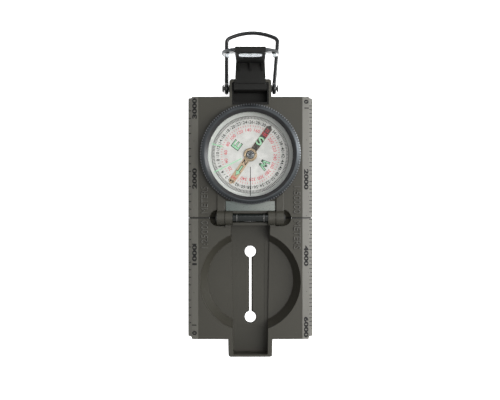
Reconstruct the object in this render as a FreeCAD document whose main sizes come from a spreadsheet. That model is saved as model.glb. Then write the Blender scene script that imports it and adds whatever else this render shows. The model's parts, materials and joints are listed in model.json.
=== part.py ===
import FreeCAD, Part

# A folding sighting compass, open on a table.
# Millimetres, +Z up.  The origin is on the dial's axis, at the plane the compass rests on.
# The lid opens towards -Y and the loupe and thumb loop are at +Y.

import math
import os

import Sketcher

doc = FreeCAD.newDocument("sighting_compass")
sheet = doc.addObject("Spreadsheet::Sheet", "Sizes")
nodes = []


# ---- driving dimensions -------------------------------------------------------------------

class Size:
    """A length together with the sheet formula that gives it."""

    def __init__(self, value, formula):
        self.value = value
        self.formula = formula

    def joined(self, sign, other, value):
        return Size(value, "(%s %s %s)" % (self.formula, sign, other.formula))

    def __add__(self, other):
        other = as_size(other)
        return self.joined("+", other, self.value + other.value)

    def __sub__(self, other):
        other = as_size(other)
        return self.joined("-", other, self.value - other.value)

    def __mul__(self, other):
        other = as_size(other)
        return self.joined("*", other, self.value * other.value)

    def __truediv__(self, other):
        other = as_size(other)
        return self.joined("/", other, self.value / other.value)

    def __radd__(self, other):
        return as_size(other) + self

    def __rsub__(self, other):
        return as_size(other) - self

    def __rmul__(self, other):
        return as_size(other) * self

    def __neg__(self):
        return as_size(0) - self


def as_size(number):
    return number if isinstance(number, Size) else Size(float(number), "%.9g" % number)


def size(alias, value):
    """Write one driving dimension into the sheet."""
    row = int(size.row)
    size.row = row + 1
    sheet.set("A%d" % row, alias)
    sheet.set("B%d" % row, str(value))
    sheet.setAlias("B%d" % row, alias)
    return Size(float(value), "Sizes." + alias)


size.row = 1

# dial, capsule and bezel, from the card outwards
card_rad = size("card_rad", 20.3)
card_depth = size("card_depth", 3.2)
card_thick = size("card_thick", 0.25)
clearance = size("clearance", 0.3)
surround_wide = size("surround_wide", 1.8)
surround_thick = size("surround_thick", 0.6)
needle_thick = size("needle_thick", 0.3)
needle_wide = size("needle_wide", 3.4)
needle_short = size("needle_short", 1.3)
dial_turn = size("dial_turn", -215.5)
hub_rad = size("hub_rad", 3.6)
jewel_rad = size("jewel_rad", 2.3)
jewel_high = size("jewel_high", 1.8)
post_rad = size("post_rad", 0.8)
magnet_wide = size("magnet_wide", 2.4)
magnet_long = size("magnet_long", 22)
magnet_thick = size("magnet_thick", 0.8)
magnet_apart = size("magnet_apart", 9)
bowl_wall = size("bowl_wall", 0.8)
rim_wide = size("rim_wide", 1.2)
rim_high = size("rim_high", 0.8)
cup_wall = size("cup_wall", 1.5)
cup_floor = size("cup_floor", 1.4)
gasket_wide = size("gasket_wide", 0.6)
gasket_thick = size("gasket_thick", 0.15)
crystal_thick = size("crystal_thick", 1)
clamp_lip = size("clamp_lip", 0.5)
clamp_lip_high = size("clamp_lip_high", 0.6)
bezel_play = size("bezel_play", 0.15)
bezel_wall = size("bezel_wall", 0.65)
bezel_teeth = size("bezel_teeth", 120)
tooth_deep = size("tooth_deep", 0.7)
bezel_lift = size("bezel_lift", 0.5)
bezel_high = size("bezel_high", 4.7)
bezel_grip = size("bezel_grip", 3.2)
bezel_slope = size("bezel_slope", 2.4)
bezel_funnel = size("bezel_funnel", 1.7)

# leaves
leaf_wide = size("leaf_wide", 65.6)
leaf_margin = size("leaf_margin", 4.1)
leaf_thick = size("leaf_thick", 2.2)
leaf_gap = size("leaf_gap", 0.15)
ruler_wide = size("ruler_wide", 5.3)
ruler_drop = size("ruler_drop", 0.45)
tick_wide = size("tick_wide", 2)
tick_drop = size("tick_drop", 1.1)
lid_notch = size("lid_notch", 1.6)
case_notch = size("case_notch", 0.8)
ledge_reach = size("ledge_reach", 0.9)
ledge_thick = size("ledge_thick", 0.8)
tongue_play = size("tongue_play", 0.2)

# main hinge
hinge_room = size("hinge_room", 7.1)
hinge_lift = size("hinge_lift", 1.2)
knuckle_rad = size("knuckle_rad", 3.7)
lid_knuckle_in = size("lid_knuckle_in", 9.4)
lid_knuckle_long = size("lid_knuckle_long", 3.8)
case_knuckle_long = size("case_knuckle_long", 4.1)
pin_rad = size("pin_rad", 1.25)
pin_play = size("pin_play", 0.06)
pin_head_rad = size("pin_head_rad", 2)
pin_head_long = size("pin_head_long", 0.7)
sleeve_rad = size("sleeve_rad", 2.05)
clip_wall = size("clip_wall", 0.35)
clip_wide = size("clip_wide", 0.45)
clip_place = size("clip_place", 6.9)
trough_play = size("trough_play", 0.8)
trough_end = size("trough_end", 17.2)
trough_wall = size("trough_wall", 0.9)
sleeve_play = size("sleeve_play", 0.7)
cheek_rise = size("cheek_rise", 0.9)

# mirror
mirror_wide = size("mirror_wide", 25.8)
mirror_near = size("mirror_near", 3.8)
mirror_long = size("mirror_long", 5)
mirror_thick = size("mirror_thick", 0.8)

# loupe, its tab on the case, and the thumb loop
barrel_half = size("barrel_half", 8.7)
barrel_rad = size("barrel_rad", 2.3)
tab_room = size("tab_room", 1)
tab_wall = size("tab_wall", 1.4)
tab_deep = size("tab_deep", 9.6)
tab_sink = size("tab_sink", 0.2)
tab_past = size("tab_past", 4.3)
axle_past = size("axle_past", 5)
axle_drop = size("axle_drop", 6)
axle_rad = size("axle_rad", 1)
axle_play = size("axle_play", 0.06)
axle_head_rad = size("axle_head_rad", 2)
axle_head_long = size("axle_head_long", 0.8)
arm_thick = size("arm_thick", 1.5)
arm_inset = size("arm_inset", 0.5)
lens_rad = size("lens_rad", 14.4)
lens_back = size("lens_back", 9.9)
lens_thick = size("lens_thick", 2.2)
lens_crown = size("lens_crown", 0.35)
frame_out = size("frame_out", 12.5)
frame_thick = size("frame_thick", 0.8)
frame_bar = size("frame_bar", 1.7)
window_below = size("window_below", 4)
window_round = size("window_round", 3)
lip_long = size("lip_long", 2.6)
lip_thick = size("lip_thick", 1.2)
gusset_long = size("gusset_long", 4.4)
gusset_thick = size("gusset_thick", 1.1)
gusset_apart = size("gusset_apart", 6.3)
spacer_long = size("spacer_long", 0.5)
spacer_rad = size("spacer_rad", 1.9)
loop_wire = size("loop_wire", 2.1)
loop_lean = size("loop_lean", 1.9)
loop_reach = size("loop_reach", 30.9)
loop_crown = size("loop_crown", 5.4)
loop_corner = size("loop_corner", 2.8)
eye_rad = size("eye_rad", 2.15)

# lid
dish_play = size("dish_play", 0.2)
dish_slope = size("dish_slope", 3.6)
dish_room = size("dish_room", 1.6)
dish_wall = size("dish_wall", 1.5)
channel_start = size("channel_start", 3.9)
channel_play = size("channel_play", 0.45)
channel_taper = size("channel_taper", 1.25)
channel_step = size("channel_step", 1.3)
channel_floor = size("channel_floor", 1.5)
channel_wall = size("channel_wall", 2.4)
channel_end_wall = size("channel_end_wall", 1.3)
channel_bevel = size("channel_bevel", 0.7)
channel_corner = size("channel_corner", 1.2)
channel_inside = size("channel_inside", 0.5)
sight_near = size("sight_near", 18.3)
sight_far = size("sight_far", 53.6)
sight_rad = size("sight_rad", 3)
sight_slot = size("sight_slot", 1.2)
sight_bevel = size("sight_bevel", 0.6)
panel_deep = size("panel_deep", 0.3)

# radii of the capsule and bezel
bowl_in = card_rad + clearance + surround_wide
bowl_rad = bowl_in + bowl_wall
bowl_rim_rad = bowl_rad + rim_wide
cup_rad = bowl_rad + clearance + cup_wall
crystal_rad = bowl_in + gasket_wide
lip_rad = bowl_rim_rad + clamp_lip
root_rad = lip_rad + bezel_play + bezel_wall
bezel_rad = root_rad + tooth_deep
bezel_mouth = bezel_rad - bezel_slope
bezel_throat = bezel_mouth - bezel_funnel

# the shut lid has to clear the bezel and the folded loupe
hinge_back = bezel_rad + hinge_room
trough_rad = knuckle_rad + trough_play
sleeve_trough = sleeve_rad + sleeve_play
arm_rise = axle_drop + 0.1
dish_deep = frame_out + frame_thick + lens_thick - axle_drop - 2 * hinge_lift + dish_room
channel_deep = dish_deep + channel_step
leaf_top = channel_deep + channel_floor
dish_rad = bezel_rad + dish_play
dish_floor_rad = dish_rad - dish_slope
dish_straight = bezel_lift + bezel_grip - 2 * hinge_lift + clearance

# the tab, its axle and what hangs on it
case_end = bezel_rad + leaf_margin
leaf_long = hinge_back + case_end
axle_far = case_end + axle_past
tab_end = axle_far + tab_past
tab_inner = barrel_half + tab_room
tab_half = tab_inner + tab_wall
lens_up = axle_far - lens_back
arm_half = barrel_half - arm_inset
frame_half = arm_half - 0.7
arm_tip_half = arm_half - 0.65
loop_half = tab_half + spacer_long + 0.1 + loop_wire / 2
channel_reach = hinge_back + tab_end - tab_wall + 0.3
channel_far = barrel_half + channel_play
channel_near = channel_far + channel_taper

# places that several pieces share
half = leaf_wide / 2
hinge_z = leaf_top + hinge_lift
axle_z = leaf_top - axle_drop
leaf_under = leaf_top - leaf_thick
case_knuckle_in = lid_knuckle_in + lid_knuckle_long + clearance
case_knuckle_out = case_knuckle_in + case_knuckle_long
dish_y = -2 * hinge_back
doc.recompute()


# ---- building blocks ----------------------------------------------------------------------

def bind(thing, **formulas):
    for key, value in formulas.items():
        thing.setExpression(key.replace("__", "."), as_size(value).formula)


def placed(thing, x=0, y=0, z=0):
    bind(thing, Placement__Base__x=x, Placement__Base__y=y, Placement__Base__z=z)
    return thing


def box(name, low, high):
    block = doc.addObject("Part::Box", name)
    length, width, height = [as_size(b) - a for a, b in zip(low, high)]
    bind(block, Length=length, Width=width, Height=height)
    return placed(block, *low)


def rod(name, radius, start, length, along_x=False):
    """A cylinder along +Z, or along +X."""
    shape = doc.addObject("Part::Cylinder", name)
    bind(shape, Radius=radius, Height=length)
    if along_x:
        shape.Placement = FreeCAD.Placement(FreeCAD.Vector(), FreeCAD.Rotation(FreeCAD.Vector(0, 1, 0), 90))
    return placed(shape, *start)


def origin_plane(body, role):
    return [item for item in body.Origin.OriginFeatures if item.Role == role][0]


def outline_sketch(body, role, points):
    """A closed outline through the points, each tied to the sheet."""
    sketch = body.newObject("Sketcher::SketchObject", body.Name + "_outline")
    sketch.AttachmentSupport = [(origin_plane(body, role), "")]
    sketch.MapMode = "FlatFace"
    points = [(as_size(a), as_size(b)) for a, b in points]
    count = len(points)
    for i in range(count):
        start, end = points[i], points[(i + 1) % count]
        sketch.addGeometry(Part.LineSegment(FreeCAD.Vector(start[0].value, start[1].value, 0),
                                            FreeCAD.Vector(end[0].value, end[1].value, 0)), False)
    for i in range(count):
        sketch.addConstraint(Sketcher.Constraint("Coincident", i, 2, (i + 1) % count, 1))
        for kind, value in zip(("DistanceX", "DistanceY"), points[i]):
            number = sketch.addConstraint(Sketcher.Constraint(kind, -1, 1, i, 1, value.value))
            sketch.setExpression("Constraints[%d]" % number, value.formula)
    return sketch


def turned(name, points, x=0, y=0, z=0):
    """A piece turned about the vertical axis from an outline of (radius, height) points."""
    body = doc.addObject("PartDesign::Body", name)
    sketch = outline_sketch(body, "XZ_Plane", points)
    doc.recompute()
    turn = body.newObject("PartDesign::Revolution", name + "_turn")
    turn.Profile = sketch
    turn.ReferenceAxis = (sketch, ["V_Axis"])
    turn.Angle = 360
    return placed(body, x, y, z)


def spun(name, points, y=0, z=0):
    """A piece turned about the X direction from an outline of (x, radius) points."""
    body = doc.addObject("PartDesign::Body", name)
    sketch = outline_sketch(body, "XZ_Plane", points)
    doc.recompute()
    turn = body.newObject("PartDesign::Revolution", name + "_turn")
    turn.Profile = sketch
    turn.ReferenceAxis = (sketch, ["H_Axis"])
    turn.Angle = 360
    return placed(body, 0, y, z)


def padded(name, role, points, low, high):
    """A plate from a flat outline, raised from low to high along the outline's normal."""
    body = doc.addObject("PartDesign::Body", name)
    sketch = outline_sketch(body, role, points)
    doc.recompute()
    pad = body.newObject("PartDesign::Pad", name + "_pad")
    pad.Profile = sketch
    bind(pad, Length=as_size(high) - low)
    if role == "XY_Plane":
        return placed(body, z=low)
    if role == "YZ_Plane":
        return placed(body, x=low)
    return placed(body, y=high)


def joined(name, pieces):
    whole = doc.addObject("Part::MultiFuse", name)
    whole.Shapes = pieces
    return whole


def shared(name, pieces):
    whole = doc.addObject("Part::MultiCommon", name)
    whole.Shapes = pieces
    return whole


def without(name, base, tools):
    whole = doc.addObject("Part::Cut", name)
    whole.Base = base
    whole.Tool = tools[0] if len(tools) == 1 else joined(name + "_tools", tools)
    return whole


def rounded(name, base, radius, wanted):
    """Round the edges that the test picks, all by one radius."""
    doc.recompute()
    picked = [n + 1 for n, edge in enumerate(base.Shape.Edges) if wanted(edge)]
    if not picked:
        raise ValueError("no edge to round on " + name)
    whole = doc.addObject("Part::Fillet", name)
    whole.Base = base
    whole.Edges = [(number, radius.value, radius.value) for number in picked]
    return whole


def mirrored_pair(make):
    """The same piece on the left (side -1) and on the right (side 1)."""
    return [make(side) for side in (-1, 1)]


def span(side, near, far):
    """Low and high x of a stretch near..far from the middle plane, on one side."""
    return (near, far) if side > 0 else (-as_size(far), -as_size(near))


def node(name, thing):
    thing.Label = name
    nodes.append((name, thing))
    return thing


def leaf_section(name, low, high):
    """A leaf's cross-section, with the sloping rule along each long edge."""
    right = [(half, leaf_under), (half, leaf_top - tick_drop),
             (half - tick_wide, leaf_top - ruler_drop), (half - ruler_wide, leaf_top)]
    left = [(-x, z) for x, z in reversed(right)]
    return padded(name, "XZ_Plane", right + left, low, high)


def trough(name, radius):
    """A round-ended bar along the hinge axis."""
    bar = rod(name + "_bar", radius, (-trough_end, -hinge_back, hinge_z), 2 * trough_end, True)
    ends = []
    for side in (-1, 1):
        ball = doc.addObject("Part::Sphere", "%s_end_%d" % (name, side > 0))
        bind(ball, Radius=radius)
        ends.append(placed(ball, side * trough_end, -hinge_back, hinge_z))
    return joined(name, [bar] + ends)


def trough_shell(name, radius, low, high):
    """The wall under one leaf that closes the hinge trough from below."""
    quarter = box(name + "_quarter", (-leaf_wide, low, 0), (leaf_wide, high, leaf_top))
    return shared(name, [trough(name + "_outside", radius), quarter])


def trough_hollow(name):
    """Room for the knuckles, and a narrower room for the sleeve between them."""
    room = trough(name + "_room", trough_rad)
    middle = lid_knuckle_in - 0.15
    block = box(name + "_block", (-middle, -hinge_back - 3 * knuckle_rad, 0),
                (middle, -hinge_back + 3 * knuckle_rad, 3 * leaf_top))
    narrow = rod(name + "_narrow", sleeve_trough, (-middle, -hinge_back, hinge_z), 2 * middle, True)
    above = box(name + "_above", (-middle, -hinge_back - sleeve_trough, hinge_z),
                (middle, -hinge_back + sleeve_trough, 2 * leaf_top))
    sides = box(name + "_over", (-trough_end, -hinge_back - trough_rad, hinge_z),
                (trough_end, -hinge_back + trough_rad, 2 * leaf_top))
    wide = without(name + "_wide", joined(name + "_both", [room, sides]), [block])
    return [wide, narrow, above]


def notched_outline(name, hinge_side, far_side, notch):
    """A leaf seen from above, with a small notch at the end of each tick strip."""
    inward = notch if far_side.value > hinge_side.value else -notch
    return padded(name, "XY_Plane", [
        (-half, hinge_side), (-half, far_side - inward), (-half + tick_wide - 0.4, far_side - inward * 0.85),
        (-half + tick_wide, far_side), (half - tick_wide, far_side),
        (half - tick_wide + 0.4, far_side - inward * 0.85), (half, far_side - inward), (half, hinge_side)],
        0, 2 * leaf_top)


# ---- case: the leaf with its cup, hinge cheeks and loupe tab -------------------------------

case_edge = -hinge_back + leaf_gap
case_plate = shared("case_plate", [leaf_section("case_section", case_edge, case_end),
                                   notched_outline("case_outline", case_edge, case_end, case_notch)])
case_shell = trough_shell("case_trough", trough_rad + trough_wall + tongue_play + ledge_thick,
                          case_edge, -hinge_back + 3 * knuckle_rad)
tongue_zone = box("tongue_zone", (-leaf_wide, -hinge_back - ledge_reach, 0),
                  (leaf_wide, -hinge_back + 1, hinge_z - trough_rad))
tongue = without("tongue", shared("tongue_whole", [
    trough("tongue_outside", trough_rad + trough_wall + tongue_play + ledge_thick), tongue_zone]),
    [trough("tongue_inside", trough_rad + trough_wall + tongue_play)])
ledges = [tongue]
for side in (-1, 1):
    low, high = span(side, trough_end + trough_rad + 0.2, half - 0.5)
    ledges.append(box("case_ledge_%d" % (side > 0),
                      (low, -hinge_back - ledge_reach, leaf_under - 0.25 - ledge_thick),
                      (high, -hinge_back + 2, leaf_under - 0.25)))
    ledges.append(box("case_ledge_root_%d" % (side > 0),
                      (low, case_edge, leaf_under - 0.25 - ledge_thick), (high, -hinge_back + 2, leaf_under)))

cup = turned("case_cup", [(0, 0), (cup_rad - 1, 0), (cup_rad, 1), (cup_rad, leaf_top), (0, leaf_top)])
bezel_sweep = bezel_rad + 0.4


def cheek(side):
    """A flange beside the mirror, from the knuckle to the bezel's edge."""
    low, high = span(side, case_knuckle_in, case_knuckle_out)
    block = box("cheek_block_%d" % (side > 0), (low, -hinge_back, leaf_under),
                (high, -bezel_rad + 8, leaf_top + cheek_rise))
    soft = rounded("cheek_soft_%d" % (side > 0), block, as_size(0.35), lambda e: (
        e.BoundBox.ZMin > leaf_top.value + cheek_rise.value - 0.01 and e.BoundBox.YLength > 1))
    return without("cheek_%d" % (side > 0), soft,
                   [rod("cheek_bezel_%d" % (side > 0), bezel_sweep, (0, 0, leaf_under - 1), leaf_top)])


cheeks = mirrored_pair(cheek)
knuckles = mirrored_pair(lambda side: rod(
    "case_knuckle_%d" % (side > 0), knuckle_rad,
    (span(side, case_knuckle_in, case_knuckle_out)[0], -hinge_back, hinge_z), case_knuckle_long, True))

tab_top = leaf_top - tab_sink
tab_under = leaf_top - tab_deep
tab_block = box("tab_block", (-tab_half, bowl_rim_rad - 3, tab_under), (tab_half, tab_end, tab_top))
tab_solid = rounded("tab_solid", tab_block, as_size(1.5),
                    lambda e: e.BoundBox.YMin > tab_end.value - 0.01 and e.BoundBox.ZLength > 1)

case_shaped = joined("case_shaped", [case_plate, case_shell, cup, tab_solid] + ledges)
case_open = without("case_open", case_shaped, trough_hollow("case_hollow"))
case_solid = joined("case_solid", [case_open] + cheeks + knuckles)

cup_hollow_rad = cup_rad - cup_wall
cup_hollow = rod("cup_hollow", cup_hollow_rad, (0, 0, cup_floor), 2 * leaf_top)
tab_hollow = box("tab_hollow", (-tab_inner, cup_rad + 1.2, 0),
                 (tab_inner, tab_end - tab_wall - 0.2, 2 * leaf_top))
mirror_low = -hinge_back + mirror_near
mirror_bed = box("mirror_bed", (-mirror_wide / 2 - 0.1, mirror_low - 0.1, leaf_top - mirror_thick),
                 (mirror_wide / 2 + 0.1, mirror_low + mirror_long + 1, 2 * leaf_top))
mirror_bed_clear = rod("mirror_bed_clear", cup_rad, (0, 0, 0), 3 * leaf_top)
mirror_cut = without("mirror_cut", mirror_bed, [mirror_bed_clear])
hinge_bore = rod("hinge_bore", pin_rad, (-case_knuckle_out - 1, -hinge_back, hinge_z),
                 2 * case_knuckle_out + 2, True)
axle_bore = rod("axle_bore", axle_rad, (-tab_half - 1, axle_far, axle_z), 2 * tab_half + 2, True)
base_leaf = without("base_leaf_solid", case_solid,
                    [cup_hollow, tab_hollow, mirror_cut, hinge_bore, axle_bore])
node("base_leaf", base_leaf)

mirror_plate = box("mirror_plate", (-mirror_wide / 2, mirror_low, leaf_top - mirror_thick),
                   (mirror_wide / 2, mirror_low + mirror_long, leaf_top + 0.1))
node("front_mirror", without("mirror_solid", mirror_plate,
                             [rod("mirror_round", cup_rad + 0.15, (0, 0, 0), 3 * leaf_top)]))

# the hinge pin is headed at both ends and tight in the case's knuckles
pin_end = case_knuckle_out + pin_head_long
node("hinge_pin", spun("hinge_pin_body", [
    (-pin_end, 0), (-pin_end, pin_head_rad - 0.5), (-pin_end + 0.3, pin_head_rad),
    (-case_knuckle_out, pin_head_rad), (-case_knuckle_out, pin_rad),
    (case_knuckle_out, pin_rad), (case_knuckle_out, pin_head_rad),
    (pin_end - 0.3, pin_head_rad), (pin_end, pin_head_rad - 0.5), (pin_end, 0)],
    -hinge_back, hinge_z))

# ---- capsule: a sealed bowl with the card on its post --------------------------------------

bowl_floor = cup_floor + 0.2
node("capsule_bowl", turned("capsule_bowl_body", [
    (0, bowl_floor), (bowl_rad, bowl_floor), (bowl_rad, leaf_top), (bowl_rim_rad, leaf_top),
    (bowl_rim_rad, leaf_top + rim_high), (bowl_in, leaf_top + rim_high),
    (bowl_in, bowl_floor + bowl_wall), (0, bowl_floor + bowl_wall)]))

crystal_low = leaf_top + rim_high + gasket_thick
crystal_top = crystal_low + crystal_thick
node("capsule_gasket", turned("capsule_gasket_body", [
    (bowl_in, leaf_top + rim_high), (crystal_rad, leaf_top + rim_high),
    (crystal_rad, crystal_low), (bowl_in, crystal_low)]))
node("capsule_crystal", turned("capsule_crystal_body", [
    (0, crystal_low), (crystal_rad, crystal_low), (crystal_rad, crystal_top), (0, crystal_top)]))
lip_low = crystal_top - clamp_lip_high
node("capsule_clamp", turned("capsule_clamp_body", [
    (crystal_rad + 0.05, leaf_top + rim_high), (bowl_rim_rad, leaf_top + rim_high),
    (bowl_rim_rad, lip_low), (lip_rad, lip_low), (lip_rad, crystal_top),
    (crystal_rad + 0.05, crystal_top)]))

card_low = leaf_top - card_depth
card_high = card_low + card_thick
node("dial_surround", turned("dial_surround_body", [
    (card_rad + clearance, card_low), (bowl_in, card_low),
    (bowl_in, card_low + surround_thick), (card_rad + clearance, card_low + surround_thick)]))

post_foot = bowl_floor + bowl_wall
post_tip = card_high + 0.4
node("pivot_post", turned("pivot_post_body", [
    (0, post_foot), (3 * post_rad, post_foot), (3 * post_rad, post_foot + 0.8),
    (post_rad, post_foot + 1.6), (post_rad, card_low - 1.5), (0.1, post_tip), (0, post_tip)]))

# ---- card: it turns freely on the post -----------------------------------------------------

node("compass_card", turned("compass_card_body", [
    (jewel_rad, card_low), (card_rad, card_low), (card_rad, card_high), (jewel_rad, card_high)]))

dial_placement = FreeCAD.Placement(FreeCAD.Vector(),
                                   FreeCAD.Rotation(FreeCAD.Vector(0, 0, 1), dial_turn.value))
needle_high = card_high + needle_thick
needle_reach = card_rad - needle_short
needle_shoulder = needle_reach - needle_wide / 2
needle_bar = padded("needle_bar", "XY_Plane", [
    (needle_wide / 2, -needle_shoulder), (needle_wide / 2, needle_shoulder), (0, needle_reach),
    (-needle_wide / 2, needle_shoulder), (-needle_wide / 2, -needle_shoulder), (0, -needle_reach)],
    card_high, needle_high)
needle_disc = rod("needle_disc", hub_rad - 0.2, (0, 0, card_high), needle_thick)
needle_cut = without("needle_solid", joined("needle_blank", [needle_bar, needle_disc]),
                     [rod("needle_eye", jewel_rad, (0, 0, card_low), 2 * card_depth)])
node("needle", needle_cut)
needle_cut.Placement = dial_placement

magnets = mirrored_pair(lambda side: box(
    "magnet_%d" % (side > 0),
    (side * magnet_apart / 2 - magnet_wide / 2, -magnet_long / 2, card_low - magnet_thick),
    (side * magnet_apart / 2 + magnet_wide / 2, magnet_long / 2, card_low)))
magnet_pair = joined("magnet_pair", magnets)
node("card_magnets", magnet_pair)
magnet_pair.Placement = dial_placement

jewel_low = card_low - 0.4
cone_foot = post_rad + 0.15
node("jewel_cup", turned("jewel_cup_body", [
    (cone_foot, jewel_low), (jewel_rad, jewel_low), (jewel_rad, jewel_low + jewel_high - 0.5),
    (jewel_rad - 0.5, jewel_low + jewel_high), (0, jewel_low + jewel_high),
    (0, post_tip + 0.02), (0.15, post_tip + 0.02)]))
node("hub_ring", turned("hub_ring_body", [
    (jewel_rad, needle_high), (hub_rad, needle_high), (hub_rad - 0.2, needle_high + 0.45),
    (jewel_rad, needle_high + 0.45)]))

# ---- bezel: a toothed ring with its own crystal, snapped over the clamp's lip ---------------

bezel_low = leaf_top + bezel_lift
bezel_top = bezel_low + bezel_high
bore_rad = bowl_rim_rad + bezel_play
groove_rad = lip_rad + bezel_play
groove_top = crystal_top + bezel_play
glass_rad = bezel_mouth - 0.2
glass_low = groove_top + 0.5
glass_top = glass_low + crystal_thick
bezel_body = turned("bezel_turning", [
    (bore_rad, bezel_low), (bezel_rad, bezel_low), (bezel_rad, bezel_low + bezel_grip),
    (bezel_mouth + 0.5, bezel_top), (bezel_mouth, bezel_top), (bezel_throat, glass_top),
    (glass_rad, glass_top), (glass_rad, groove_top), (groove_rad, groove_top),
    (groove_rad, lip_low - bezel_play), (bore_rad, lip_low - bezel_play)])
doc.recompute()
notch_half = bezel_rad * math.pi / bezel_teeth / 2
notch = outline_sketch(bezel_body, "XY_Plane", [
    (root_rad, notch_half * 0.35), (bezel_rad + 0.1, notch_half), (bezel_rad + 0.1, -notch_half),
    (root_rad, -notch_half * 0.35)])
doc.recompute()
gap = bezel_body.newObject("PartDesign::Pocket", "notch_cut")
gap.Profile = notch
gap.Type = "ThroughAll"
gap.Midplane = True
doc.recompute()
teeth = bezel_body.newObject("PartDesign::PolarPattern", "teeth")
teeth.Originals = [gap]
teeth.Axis = (notch, ["N_Axis"])
teeth.Angle = 360
bind(teeth, Occurrences=bezel_teeth)
bezel_body.Tip = teeth
node("bezel", bezel_body)

node("bezel_crystal", turned("bezel_crystal_body", [
    (0, glass_low), (glass_rad, glass_low), (glass_rad, glass_top), (0, glass_top)]))
node("bezel_snap_ring", turned("bezel_snap_ring_body", [
    (bezel_throat + 0.6, groove_top + 0.1), (glass_rad, groove_top + 0.1), (glass_rad, glass_low),
    (bezel_throat + 0.6, glass_low)]))

# ---- lid: the second leaf, with a dish for the bezel and a channel for the loupe ------------

lid_edge = -hinge_back - leaf_gap
lid_end = -hinge_back - leaf_long
lid_plate = shared("lid_plate", [leaf_section("lid_section", lid_end, lid_edge),
                                 notched_outline("lid_outline", lid_edge, lid_end, lid_notch)])
lid_shell = trough_shell("lid_trough", trough_rad + trough_wall, -hinge_back - 3 * knuckle_rad, lid_edge)

dish_under = leaf_top - dish_deep - dish_wall
dish_outer = turned("dish_outer", [
    (0, dish_under), (dish_floor_rad + dish_wall - 1, dish_under),
    (dish_floor_rad + dish_wall, dish_under + 1), (dish_rad + dish_wall, leaf_under),
    (dish_rad + dish_wall, leaf_top - 0.5), (0, leaf_top - 0.5)], 0, dish_y)
dish_hollow = turned("dish_hollow", [
    (0, leaf_top - dish_deep), (dish_floor_rad, leaf_top - dish_deep),
    (dish_rad, leaf_top - dish_straight),
    (dish_rad, 2 * leaf_top), (0, 2 * leaf_top)], 0, dish_y)


def tapered(name, start, reach, near, far, low, high):
    """A plate that narrows away from the hinge, from start to reach behind the hinge line."""
    return padded(name, "XY_Plane", [
        (-near, -hinge_back - start), (-far, -hinge_back - reach),
        (far, -hinge_back - reach), (near, -hinge_back - start)], low, high)


channel_low = leaf_top - channel_deep
channel_outer = tapered("channel_outer", channel_start - channel_wall, channel_reach + channel_end_wall,
                        channel_near + channel_wall, channel_far + channel_wall,
                        channel_low - channel_floor, leaf_top)
channel_end = -hinge_back - channel_reach - channel_end_wall
channel_corners = rounded("channel_corners", channel_outer, channel_corner, lambda e: (
    e.BoundBox.YMax < channel_end.value + 0.01 and e.BoundBox.ZLength > 1))
doc.recompute()
channel_block = doc.addObject("Part::Chamfer", "channel_block")
channel_block.Base = channel_corners
channel_block.Edges = [(n + 1, channel_bevel.value, channel_bevel.value)
                       for n, edge in enumerate(channel_corners.Shape.Edges)
                       if edge.BoundBox.ZMin > leaf_top.value - 0.01 and edge.BoundBox.YMin < dish_y.value]
channel_inner = tapered("channel_inner", channel_start, channel_reach, channel_near, channel_far,
                        channel_low, 2 * leaf_top)
channel_inner_end = -hinge_back - channel_reach
channel_hollow = rounded("channel_hollow", channel_inner, channel_inside, lambda e: (
    e.BoundBox.YMax < channel_inner_end.value + 0.01 and e.BoundBox.ZLength > 1))

lid_knuckles = mirrored_pair(lambda side: rod(
    "lid_knuckle_%d" % (side > 0), knuckle_rad,
    (span(side, lid_knuckle_in, lid_knuckle_in + lid_knuckle_long)[0], -hinge_back, hinge_z),
    lid_knuckle_long, True))
lid_webs = mirrored_pair(lambda side: box(
    "lid_web_%d" % (side > 0),
    (span(side, lid_knuckle_in, lid_knuckle_in + lid_knuckle_long)[0],
     -hinge_back - trough_rad - 0.5, leaf_under - 1),
    (span(side, lid_knuckle_in, lid_knuckle_in + lid_knuckle_long)[1], -hinge_back - 1, hinge_z - 0.6)))
lid_shaped = joined("lid_shaped", [lid_plate, lid_shell, dish_outer, channel_block])
lid_open = without("lid_open", lid_shaped, trough_hollow("lid_hollow"))
lid_solid = joined("lid_solid", [lid_open] + lid_knuckles + lid_webs)

sights = [rod("sight_%d" % n, sight_rad, (0, -hinge_back - place, -1), leaf_top)
          for n, place in enumerate((sight_near, sight_far))]
sight_floor = channel_low - panel_deep
sinks = []
for n, place in enumerate((sight_near, sight_far)):
    sink = doc.addObject("Part::Cone", "sight_sink_%d" % n)
    bind(sink, Radius1=sight_rad, Radius2=sight_rad + 2 * sight_bevel, Height=2 * sight_bevel)
    sinks.append(placed(sink, 0, -hinge_back - place, sight_floor - sight_bevel))
slot_half = sight_slot / 2
slot_sink = padded("sight_slit_sink", "XZ_Plane", [
    (-slot_half, sight_floor - sight_bevel), (-slot_half - 2 * sight_bevel, sight_floor + sight_bevel),
    (slot_half + 2 * sight_bevel, sight_floor + sight_bevel), (slot_half, sight_floor - sight_bevel)],
    -hinge_back - sight_far, -hinge_back - sight_near)
slot = box("sight_slit", (-sight_slot / 2, -hinge_back - sight_far, -1),
           (sight_slot / 2, -hinge_back - sight_near, leaf_top))
panel_half = channel_far - 1.4
panel = box("lid_panel", (-panel_half, -hinge_back - sight_far - 5, sight_floor),
            (panel_half, -hinge_back - channel_start - 3, leaf_top))
lid_bore = rod("lid_bore", pin_rad + pin_play, (-case_knuckle_in, -hinge_back, hinge_z),
               2 * case_knuckle_in, True)
lid_leaf = without("lid_leaf_solid", lid_solid,
                   [dish_hollow, channel_hollow, slot, slot_sink, panel, lid_bore] + sights + sinks)
node("lid_leaf", lid_leaf)

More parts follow.
